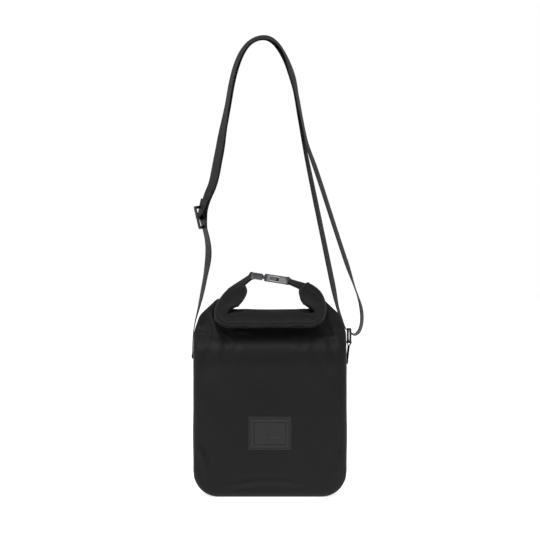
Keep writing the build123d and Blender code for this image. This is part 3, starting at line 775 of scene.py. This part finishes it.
def makeLabelStitches():
    # stitches evenly along a rectangle inside the label's edge, each arched a little over the surface
    s = label
    x, z = labelHalfX - s["stitchInset"], labelHalfZ - s["stitchInset"]
    corners = [(-x, -z, 1.2), (x, -z, 1.2), (x, z, 1.2), (-x, z, 1.2)]
    around = 2 * (2 * x + 2 * z)
    count = int(around / (s["stitchLength"] + s["stitchGap"]))
    line = roundedOutline(corners, count * 8)
    used = np.linspace(0, s["stitchLength"] / (s["stitchLength"] + s["stitchGap"]) * 8, 6)
    index = np.arange(count)[:, None] * 8 + used[None]
    places = np.arange(len(line) + 8)
    wrapped = np.concatenate([line, line[:8]])
    px, pz = np.interp(index, places, wrapped[:, 0]), np.interp(index, places, wrapped[:, 1])
    arch = s["stitchArch"] * np.sin(np.linspace(0, math.pi, 6))[None] * np.ones((count, 1))
    py = frontCloth(px + labelX, pz + labelZ) - s["thickness"] + s["stitchSunk"] - arch
    paths = np.stack([px + labelX, py, pz + labelZ], axis=2) * mm
    piece = threadMesh("label_stitches", [roundBar(path, s["threadRadius"] * mm) for path in paths])
    finishPiece(piece, threadLook, "bag", ["patch_stitching"])


makeLabel()
makeLabelStitches()
print("label made")


rollShape = {
    "rows": 150, "around": 84, "girth": 78, "capRings": 6, "capReach": 1.6, "bow": 11.0, "bowFade": 18.0,
    # how far each row of a bound edge stands off the cloth, and the band's width, mm
    "bindingProud": [-0.6, 0.55, 0.85, 0.85, 0.85, 0.85, 0.55, -0.6], "bindingWidth": 6,
    # ends of the wound layers round the section: height as a share, where it rises, over how much, where it
    # falls and over how much; then the groove beside them: depth, place, half width; angles in radians
    "lip": (0.075, 5.15, 0.07, 5.4, 0.8), "under": (0.06, 3.65, 0.4, 4.15, 0.06), "groove": (0.045, 5.1, 0.07),
    # (outer x, outer z, inner x, inner z, half depth) from each blunt end to the middle, mm
    "left": [(-41, 306.8, -46.5, 273.5, 10), (-50, 304.5, -50, 271.8, 11), (-64, 295, -54.5, 269.5, 11.6),
             (-74, 282, -58, 267, 11.8), (-80, 267, -60, 265, 12), (-78, 252, -58.5, 264.5, 12),
             (-66, 244.2, -52, 265.8, 12), (-40, 242.4, -38, 269.4, 12), (-12, 242.6, -12, 267.2, 12),
             (3, 242.8, 3, 266.8, 12)],
    "right": [(54.5, 306.8, 48.5, 276.5, 10), (61.5, 304, 52.5, 273.5, 11), (71.5, 296.5, 58, 270.5, 11.6),
              (79, 282, 61.5, 267.5, 11.8), (80.8, 266, 63, 265.5, 12), (76, 252, 60.5, 264.5, 12),
              (64, 244.4, 54, 266, 12), (40, 242.8, 38, 269.2, 12), (16, 242.8, 16, 267.2, 12),
              (1, 242.8, 1, 266.8, 12)],
}


def ledge(turn, height, rise, riseOver, fall, fallOver):
    # up by one smooth step and down again by another
    return height * (smoothStep((turn - rise) / riseOver) - smoothStep((turn - fall) / fallOver))


def rollSections(stations, side):
    # a flattened roll carried along the stations: at each, the section runs from the outer edge to the inner
    # edge, bowed to front and back by a rounded-off sine, with a lip where each wound layer ends
    s = rollShape
    line = curveThrough(stations, s["rows"])
    outer, inner, depth = line[:, 0:2], line[:, 2:4], line[:, 4]
    middle, half = (outer + inner) / 2, (outer - inner) / 2
    turn = np.linspace(0, 2 * math.pi, s["around"], endpoint=False)
    up = np.sign(np.cos(turn)) * np.abs(np.cos(turn)) ** 0.8
    out = np.sign(np.sin(turn)) * np.abs(np.sin(turn)) ** 0.62
    grooveDepth, groovePlace, grooveHalf = s["groove"]
    size = (1 + 0.03 * np.sin(turn * 2 + 0.6) + ledge(turn, *s["lip"]) + ledge(turn, *s["under"])
            - grooveDepth * np.exp(-((turn - groovePlace) / grooveHalf) ** 2))
    run = lengthAlong(middle)
    calm = smoothStep((run[-1] - run) / 25)[:, None]
    pinch = 1 + calm * (0.03 * np.sin(run / 9.0)[:, None] * np.sin(turn * 3)[None]
                        + 0.02 * np.sin(run / 3.7 + side)[:, None] * np.sin(turn * 5 + 1)[None])
    # the blunt end bows outwards along the roll, most at the middle of its width
    ahead = (middle[0] - middle[1]) / np.linalg.norm(middle[0] - middle[1])
    bow = s["bow"] * (1 - (up * 0.95) ** 2) * smoothStep(1 - run / s["bowFade"])[:, None]
    x = middle[:, :1] + half[:, :1] * up * size * pinch + ahead[0] * bow
    z = middle[:, 1:] + half[:, 1:] * up * size * pinch + ahead[1] * bow
    y = rollY / mm + depth[:, None] * out * size * pinch
    return np.stack([x, y, z], axis=2), run, middle


def rollHalf(name, stations, side):
    # the sections, closed at the blunt end by a low dome of rings: each shrinks to (1 - k^2.2)^(1/2.2) and
    # stands out by k times the reach
    s = rollShape
    grid, run, middle = rollSections(stations, side)
    ahead = middle[0] - middle[1]
    ahead = np.array([ahead[0], 0, ahead[1]]) / np.linalg.norm(ahead)
    hub = grid[0].mean(axis=0)
    k = np.linspace(0.15, 0.97, s["capRings"])[::-1, None, None]
    rings = hub + (grid[:1] - hub) * (1 - k ** 2.2) ** (1 / 2.2) + s["capReach"] * k * ahead
    grid = np.concatenate([rings, grid])
    run = np.concatenate([np.linspace(-16, -2, s["capRings"]), run])
    uv = uvGrid(np.linspace(0, s["girth"], s["around"] + 1), run) * mm
    return gridMesh(name, grid * mm, uv, wrap=True, startCap=True, endCap=True, flip=side > 0)


def endBinding(name, stations, side, body):
    # the bound edge of a blunt end: a narrow band that stands a little proud of the first sections,
    # its two edges turned in to the cloth
    s = rollShape
    grid = rollSections(stations, side)[0]
    proud = np.array(s["bindingProud"])
    rows = np.linspace(0, 4.2, len(proud))
    lower = np.floor(rows).astype(int)
    share = (rows - lower)[:, None, None]
    band = grid[lower] * (1 - share) + grid[lower + 1] * share
    hub = band.mean(axis=1)[:, None]
    spread = band - hub
    band = hub + spread * (1 + proud[:, None, None] / np.linalg.norm(spread, axis=2)[:, :, None])
    across = np.linspace(-s["bindingWidth"] / 2, s["bindingWidth"] / 2, len(proud))[:, None]
    around = np.linspace(0, s["girth"], band.shape[1] + 1)[None]
    uv = np.stack(np.broadcast_arrays(across, around), axis=2) * mm
    piece = gridMesh(name, band * mm, uv, wrap=True, flip=side > 0)
    finishPiece(piece, bindingLook, body)


def makeRoll():
    # two halves that meet in the middle, each bending into its hand end, and a binding on each blunt end
    left = rollHalf("rolled_mouth_left", rollShape["left"], -1)
    finishPiece(left, fabricLook, None, ["left_hand_end", "rolled_top"])
    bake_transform(left)
    right = rollHalf("rolled_mouth_right", rollShape["right"], 1)
    finishPiece(right, fabricLook, None, ["right_hand_end", "rolled_top"])
    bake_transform(right)
    endBinding("left_end_binding", rollShape["left"], -1, "left_end")
    endBinding("right_end_binding", rollShape["right"], 1, "right_end")


makeRoll()
print("rolled mouth made")


neckShape = {
    "halfWidth": 57, "columns": 90, "thickness": 2.2,
    # (y, z) from behind the neck, over it and forward into the roll
    "line": [(-4.2, 236), (-4.6, 249), (-5.6, 259), (-10.5, 266), (-18, 269), (-28, 270), (-36, 269),
             (-41, 266)],
}


def makeNeck():
    # one sheet: the line carried across the bag, pulled up a little towards the hand ends, with soft gathers
    s = neckShape
    line = curveThrough(s["line"], 60)
    x = np.linspace(-s["halfWidth"], s["halfWidth"], s["columns"])
    lift = 1.5 + 0.5 * np.cos(x / s["halfWidth"] * math.pi)
    gather = 0.7 * np.sin(x / 6.5) * np.exp(-((np.abs(x) - 42) / 14) ** 2)
    share = np.linspace(0, 1, len(line))[:, None]
    y = line[:, :1] + gather * np.sin(share * math.pi)
    z = line[:, 1:] - (lift - 1) * smoothStep(share) + gather * 0.6 * np.sin(share * math.pi)
    top = np.stack([np.broadcast_to(x, y.shape), y, z], axis=2)
    piece = gridMesh("neck_cloth", top * mm, uvGrid(x, lengthAlong(line)) * mm, flip=True)
    giveThickness(piece, s["thickness"])
    finishPiece(piece, fabricLook, None, ["neck_flap"])
    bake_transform(piece)


makeNeck()
print("neck made")


def ribbonGrid(path, widthWay, width, thickness):
    # a flat section carried along the path: a long oval with nearly square shoulders, its width along widthWay
    # and its thickness at right angles to that and to the path
    ahead = tangents(path)
    across = widthWay - (widthWay * ahead).sum(axis=1)[:, None] * ahead
    across /= np.linalg.norm(across, axis=1)[:, None]
    through = np.cross(across, ahead)
    flat = np.linspace(-0.5, 0.5, 15)
    cushion = 0.5 * (1 - 0.75 * np.abs(flat * 2) ** 8)
    u = np.concatenate([flat, flat[::-1]]) * width
    v = np.concatenate([cushion, -cushion[::-1]]) * thickness
    grid = path[:, None] + across[:, None] * u[None, :, None] + through[:, None] * v[None, :, None]
    return grid, uvGrid(np.concatenate([u, u[:1]]), lengthAlong(path))


def splineLine(points):
    # the points of a NURBS line of order 3 whose control points are the route's points
    data = bpy.data.curves.new("route", "CURVE")
    data.dimensions = "3D"
    data.resolution_u = 16
    spline = data.splines.new("NURBS")
    spline.points.add(len(points) - 1)
    spline.points.foreach_set("co", np.column_stack([points, np.ones(len(points))]).ravel())
    spline.order_u = 3
    spline.use_endpoint_u = True
    holder = bpy.data.objects.new("route", data)
    mesh = bpy.data.meshes.new_from_object(holder)
    line = np.empty(len(mesh.vertices) * 3)
    mesh.vertices.foreach_get("co", line)
    bpy.data.meshes.remove(mesh)
    bpy.data.objects.remove(holder)
    bpy.data.curves.remove(data)
    return line.reshape(-1, 3)


strap = {
    "thickness": 1.5, "rows": 420,
    # centre lines (x, z) of the two strands, mm
    "inner": [(-112.4, 197.0), (-112.4, 222.0), (-110.0, 247.0), (-101.8, 277.0), (-94.0, 315.0),
              (-88.9, 346.0), (-90.2, 368.0), (-95.4, 388.0), (-97.6, 406.0), (-93.2, 427.0), (-83.0, 449.0),
              (-77.0, 473.5), (-58.8, 570.0), (-55.0, 594.0), (-48.4, 621.0), (-39.5, 643.0), (-26.0, 658.0),
              (-6.5, 663.2), (8.8, 654.8), (20.0, 637.0), (27.6, 616.0), (34.3, 592.0), (39.0, 568.8),
              (50.2, 504.0), (57.0, 470.0), (92.5, 298.4), (98.0, 271.0), (105.0, 251.0), (110.9, 238.0),
              (116.0, 236.2)],
    "outer": [(116.0, 236.2), (121.1, 230.2), (129.0, 234.8), (133.4, 246.5), (133.9, 262.0), (130.8, 279.0),
              (121.0, 307.0), (96.5, 380.0), (69.0, 466.0), (54.2, 506.0), (49.7, 527.5), (41.2, 570.0),
              (37.0, 592.4), (30.1, 618.0), (22.4, 639.4), (10.6, 657.5), (-6.3, 666.2), (-27.2, 660.4),
              (-41.6, 644.2), (-51.0, 622.0), (-57.6, 594.6), (-61.3, 570.7), (-78.6, 474.7), (-82.9, 450.8),
              (-91.9, 433.0), (-98.9, 410.0)],
    # how far the webbing turns its outer face to the front, degrees, at shares of each strand's length
    "innerTurn": [(0, 0), (0.04, 1), (0.12, 15), (0.16, 22), (0.2, 17), (0.22, 27), (0.27, 31), (0.32, 28),
                  (0.37, 17), (0.42, 16), (0.47, 16), (0.51, 9), (0.55, 18), (0.585, 14), (0.62, 9),
                  (0.66, 12), (0.8, 17), (0.92, 18), (0.97, 9), (1, 0)],
    "outerTurn": [(0, 2), (0.02, 13), (0.06, 13), (0.1, 4), (0.16, 15), (0.35, 16), (0.43, 9), (0.49, 12),
                  (0.53, 19), (0.585, 9), (0.63, 17), (0.69, 16), (0.78, 16), (0.86, 27), (0.93, 30), (1, 24)],
}


def strapStrand(name, route, turns, outwards, replaced):
    # the ribbon's width leans from the depth direction by the turn, towards the outside of the arch
    points = np.array([(x, strapY / mm, z) for x, z in route]) * mm
    path = evenly(splineLine(points), strap["rows"])
    turn = np.radians(valueThrough(np.linspace(0, 1, len(path)), turns)) * outwards
    straight = np.broadcast_to([0.0, 1.0, 0.0], path.shape)
    way = straight * np.cos(turn)[:, None] + np.cross(tangents(path), straight) * np.sin(turn)[:, None]
    grid, uv = ribbonGrid(path, way, strapWidth, strap["thickness"] * mm)
    piece = gridMesh(name, grid, uv, wrap=True, startCap=True, endCap=True)
    finishPiece(piece, strapLook, None, [replaced])
    return piece, path, float(np.linalg.norm(np.diff(path, axis=0), axis=1).sum())


def makeStrap():
    # both strands of the shoulder strap, each built and baked into place
    s = strap
    inner, innerPath, innerLength = strapStrand("strap_inner", s["inner"], s["innerTurn"], 1,
                                                "strap_inner_strand")
    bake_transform(inner)
    outer, outerPath, outerLength = strapStrand("strap_outer", s["outer"], s["outerTurn"], -1,
                                                "strap_outer_strand")
    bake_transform(outer)
    print("strap strands", round(innerLength, 3), round(outerLength, 3))


makeStrap()


def barLoop(name, bar, start, eye, apart, turns, width, thickness, look, body, replaced):
    # webbing from start to a bar, round it and back: the centre line runs straight to the bar, the two layers
    # stand apart by a distance that widens to the eye, and the width turns from one angle to the other
    bar, start = np.array(bar), np.array(start)
    run = np.linalg.norm(bar - start)
    ahead = (bar - start) / run
    side = np.array([-ahead[1], ahead[0]])
    t = np.linspace(0, run, 40)
    lift = apart + (eye - apart) * smoothStep((t - run + 1.9 * eye) / (1.9 * eye))
    arc = np.linspace(math.pi / 2, -math.pi / 2, 22)[1:-1]
    outward = start + ahead * t[:, None] + side * lift[:, None]
    back = (start + ahead * t[:, None] - side * lift[:, None])[::-1]
    bend = bar + eye * (ahead * np.cos(arc)[:, None] + side * np.sin(arc)[:, None])
    flat = np.concatenate([outward, bend, back])
    along = np.concatenate([t, np.full(len(bend), run), t[::-1]]) / run
    turn = np.radians(turns[0] + (turns[1] - turns[0]) * smoothStep(along))
    # the whole loop turns about its centre line, so each point's offset from that line turns too
    offset = flat - (start + ahead * (along * run)[:, None])
    beside = offset @ side
    beyond = offset @ ahead
    normal = np.array([side[0], 0, side[1]])
    forward = np.array([ahead[0], 0, ahead[1]])
    depth = np.array([0, 1.0, 0])
    wide = np.cos(turn)[:, None] * depth + np.sin(turn)[:, None] * normal
    thick = np.cos(turn)[:, None] * normal - np.sin(turn)[:, None] * depth
    centre = np.array([start[0], 0, start[1]]) + forward * (along * run)[:, None]
    path = centre + thick * beside[:, None] + forward * beyond[:, None]
    path[:, 1] += (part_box(replaced)[0].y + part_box(replaced)[1].y) / 2 / mm
    grid, uv = ribbonGrid(path * mm, wide, width * mm, thickness * mm)
    piece = gridMesh(name, grid, uv, wrap=True, startCap=True, endCap=True)
    finishPiece(piece, look, body, [replaced])


# each loop's bar and start (x, z), the eye's radius, half the layers' spacing, the turn at start and at bar,
# and the webbing's width and thickness, in mm and degrees
loops = {
    "leftClosure": {"bar": (-24.91, 317.81), "start": (-58, 293.2), "eye": 2.7, "apart": 0.8,
                    "turns": (33, 19), "width": 20, "thickness": 1.5},
    "rightClosure": {"bar": (24.91, 310.19), "start": (59, 297.6), "eye": 2.7, "apart": 0.8,
                     "turns": (-33, -20), "width": 20, "thickness": 1.5},
    "ringTab": {"bar": (115.0, 221.0), "start": (111.6, 189.5), "eye": 3.1, "apart": 0.76,
                "turns": (0, 0), "width": 25, "thickness": 1.4},
    "sliderLoop": {"bar": (-101.5, 402.5), "start": (-93.6, 428.3), "eye": 3.6, "apart": 1.6,
                   "turns": (-27, -16), "width": 25, "thickness": 1.4},
}


def makeLoops():
    # the webbing that is sewn back on itself round a bar
    left, right, tab, slide = (loops[n] for n in ("leftClosure", "rightClosure", "ringTab", "sliderLoop"))
    barLoop("closure_webbing_left", **left, look=closureLook, body="left_end", replaced="left_closure_webbing")
    barLoop("closure_webbing_right", **right, look=closureLook, body="right_end",
            replaced="right_closure_webbing")
    barLoop("ring_tab_webbing", **tab, look=strapLook, body="bag", replaced="ring_tab")
    barLoop("slider_webbing_loop", **slide, look=strapLook, body="slider", replaced="slider_loop")


makeLoops()
print("webbing loops made")


# each tack stands on the skin of its webbing, at that distance to the side, mm
tack = {"threadRadius": 0.3, "teeth": 22, "height": 5.0, "margin": 1.0, "sewnOn": 0.1, "arch": 0.25,
        "leftSkin": 113.2, "rightSkin": 113.1}
patch = {"count": 40, "rim": 1.6, "backing": 0.4}


def barTack(name, node, side, skin):
    # dense zigzag stitching: a triangle wave from edge to edge of the tack as it crosses the webbing, arched
    # over the skin by the cosine of the same phase
    s = tack
    low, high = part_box(node)
    y = np.linspace(low.y + s["margin"] * mm, high.y - s["margin"] * mm, s["teeth"] * 6)
    phase = np.linspace(0, s["teeth"] * math.pi, len(y))
    wave = np.arcsin(np.sin(phase)) / (math.pi / 2)
    z = (low.z + high.z) / 2 + wave * s["height"] * mm / 2
    x = side * (skin + s["sewnOn"] + s["arch"] * np.abs(np.cos(phase))) * mm
    path = np.stack([x, y, z], axis=1)
    piece = threadMesh(name, [roundBar(path, s["threadRadius"] * mm)])
    finishPiece(piece, threadLook, "bag", [node])


def anchorPatch():
    # a small rounded square of the bag's cloth, its rim turned down to the side: the height rises from a tenth
    # to the whole as a quarter circle over the rim
    low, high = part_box("left_anchor_patch")
    y, z = np.meshgrid(np.linspace(low.y, high.y, patch["count"]), np.linspace(low.z, high.z, patch["count"]))
    fromEdge = np.minimum(np.minimum(y - low.y, high.y - y), np.minimum(z - low.z, high.z - z)) / mm
    share = np.clip(fromEdge / patch["rim"], 0, 1)
    x = high.x - (high.x - low.x) * (0.1 + 0.9 * np.sqrt(np.clip(1 - (1 - share) ** 2, 0, 1)))
    grid = np.stack([x, y, z], axis=2)
    uv = np.concatenate([grid, grid[:, -1:]], axis=1)[:, :, [1, 2]]
    piece = gridMesh("strap_anchor_patch", grid, uv, flip=True)
    giveThickness(piece, patch["backing"])
    finishPiece(piece, fabricLook, "bag", ["left_anchor_patch"])


barTack("strap_bar_tack", "left_bar_tack", -1, tack["leftSkin"])
barTack("tab_bar_tack", "ring_tab_bar_tack", 1, tack["rightSkin"])
anchorPatch()
print("bar tacks made")


moulded = {
    # edge rounding in mm, and the body of each part
    "buckle_male": (0.45, "buckle_plug"), "buckle_female": (0.45, "buckle_socket"),
    "catch_front": (0.3, "front_catch"), "catch_rear": (0.3, "rear_catch"),
    "strap_ring": (0.5, "ring"), "slider_frame": (0.5, "slider"),
}
# parts that stand a little turned about an upright or leaning axis: angle, a point on it (x, z) mm, its lean
turned = {"slider_frame": (-15, (-101.5, 402.5), 13), "strap_ring": (6, (115.0, 230.0), 0)}


def turnAboutAxis(points, origin, axis, angle):
    # Rodrigues: p cos a + (axis x p) sin a + axis (axis . p)(1 - cos a), with p measured from the origin
    p = points - origin
    c, s = math.cos(angle), math.sin(angle)
    return origin + p * c + np.cross(axis, p) * s + np.outer(p @ axis, axis) * (1 - c)


def makeMoulded():
    # each part is a merged copy of its CAD solid with its edges rounded, as a moulding's are, and a part in
    # the second dictionary turned about its axis
    for node, (rounding, body) in moulded.items():
        shape = bmesh.new()
        shape.from_mesh(nodes[node].data)
        bmesh.ops.remove_doubles(shape, verts=shape.verts, dist=1e-6)
        bmesh.ops.dissolve_limit(shape, angle_limit=math.radians(1), verts=shape.verts, edges=shape.edges)
        mesh = bpy.data.meshes.new(node + "_moulding")
        shape.to_mesh(mesh)
        shape.free()
        if node in turned:
            angle, (x, z), lean = turned[node]
            points = np.empty(len(mesh.vertices) * 3)
            mesh.vertices.foreach_get("co", points)
            axis = np.array([-math.sin(math.radians(lean)), 0, math.cos(math.radians(lean))])
            origin = np.array([x * mm, strapY, z * mm])
            points = turnAboutAxis(points.reshape(-1, 3), origin, axis, math.radians(angle))
            mesh.vertices.foreach_set("co", points.ravel())
        piece = smoothPiece(node + "_moulding", mesh)
        edge = piece.modifiers.new("rounded edges", "BEVEL")
        edge.width = rounding * mm
        edge.segments = 3
        edge.limit_method = "ANGLE"
        edge.angle_limit = math.radians(35)
        edge.harden_normals = True
        look = plasticLook if node in ("strap_ring", "slider_frame") else buckleLook
        finishPiece(piece, look, body, [node])


makeMoulded()
print("moulded parts made")


hiddenLooks = {"lining": liningLook, "front_seam_tape": bindingTape, "back_seam_tape": bindingTape,
               "base_board": boardLook, "mouth_stiffener": boardLook}
for cadNode, look in hiddenLooks.items():
    nodes[cadNode].data.materials.clear()
    nodes[cadNode].data.materials.append(look)
print("hidden parts painted")
